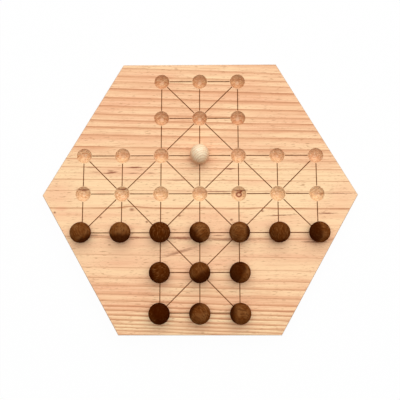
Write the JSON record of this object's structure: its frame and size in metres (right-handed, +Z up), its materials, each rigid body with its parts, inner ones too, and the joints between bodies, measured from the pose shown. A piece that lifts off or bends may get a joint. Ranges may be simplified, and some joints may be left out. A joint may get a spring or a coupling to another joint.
{
  "type": "fox and geese board",
  "caption": "Hexagonal pine game board with a cross of round seats joined by engraved lines, holding dark wooden geese balls and a pale fox ball.",
  "frame": {"origin": "centre of the board's underside; the middle seat lies 1.3 mm from it towards +Y", "axes": "+X runs corner to corner along the grain, +Y points to the flat side where the fox starts, +Z is up, out of the seats"},
  "size_m": [0.3118, 0.27, 0.0352],
  "materials": {
    "board_pine": "satin",
    "goose_wood": "satin",
    "fox_wood": "satin"
  },
  "bodies": {
    "board": {"board": "board_pine"},
    "fox_ball": {"fox_ball": "fox_wood"},
    "goose_ball_01": {"goose_ball_01": "goose_wood"},
    "goose_ball_02": {"goose_ball_02": "goose_wood"},
    "goose_ball_03": {"goose_ball_03": "goose_wood"},
    "goose_ball_04": {"goose_ball_04": "goose_wood"},
    "goose_ball_05": {"goose_ball_05": "goose_wood"},
    "goose_ball_06": {"goose_ball_06": "goose_wood"},
    "goose_ball_07": {"goose_ball_07": "goose_wood"},
    "goose_ball_08": {"goose_ball_08": "goose_wood"},
    "goose_ball_09": {"goose_ball_09": "goose_wood"},
    "goose_ball_10": {"goose_ball_10": "goose_wood"},
    "goose_ball_11": {"goose_ball_11": "goose_wood"},
    "goose_ball_12": {"goose_ball_12": "goose_wood"},
    "goose_ball_13": {"goose_ball_13": "goose_wood"}
  },
  "joints": [
    {"name": "fox_ball_lift", "type": "slide", "parent": "board", "child": "fox_ball", "axis": [0, 0, 1], "range_m": [0, 0.03]},
    {"name": "goose_ball_01_lift", "type": "slide", "parent": "board", "child": "goose_ball_01", "axis": [0, 0, 1], "range_m": [0, 0.03]},
    {"name": "goose_ball_02_lift", "type": "slide", "parent": "board", "child": "goose_ball_02", "axis": [0, 0, 1], "range_m": [0, 0.03]},
    {"name": "goose_ball_03_lift", "type": "slide", "parent": "board", "child": "goose_ball_03", "axis": [0, 0, 1], "range_m": [0, 0.03]},
    {"name": "goose_ball_04_lift", "type": "slide", "parent": "board", "child": "goose_ball_04", "axis": [0, 0, 1], "range_m": [0, 0.03]},
    {"name": "goose_ball_05_lift", "type": "slide", "parent": "board", "child": "goose_ball_05", "axis": [0, 0, 1], "range_m": [0, 0.03]},
    {"name": "goose_ball_06_lift", "type": "slide", "parent": "board", "child": "goose_ball_06", "axis": [0, 0, 1], "range_m": [0, 0.03]},
    {"name": "goose_ball_07_lift", "type": "slide", "parent": "board", "child": "goose_ball_07", "axis": [0, 0, 1], "range_m": [0, 0.03]},
    {"name": "goose_ball_08_lift", "type": "slide", "parent": "board", "child": "goose_ball_08", "axis": [0, 0, 1], "range_m": [0, 0.03]},
    {"name": "goose_ball_09_lift", "type": "slide", "parent": "board", "child": "goose_ball_09", "axis": [0, 0, 1], "range_m": [0, 0.03]},
    {"name": "goose_ball_10_lift", "type": "slide", "parent": "board", "child": "goose_ball_10", "axis": [0, 0, 1], "range_m": [0, 0.03]},
    {"name": "goose_ball_11_lift", "type": "slide", "parent": "board", "child": "goose_ball_11", "axis": [0, 0, 1], "range_m": [0, 0.03]},
    {"name": "goose_ball_12_lift", "type": "slide", "parent": "board", "child": "goose_ball_12", "axis": [0, 0, 1], "range_m": [0, 0.03]},
    {"name": "goose_ball_13_lift", "type": "slide", "parent": "board", "child": "goose_ball_13", "axis": [0, 0, 1], "range_m": [0, 0.03]}
  ]
}
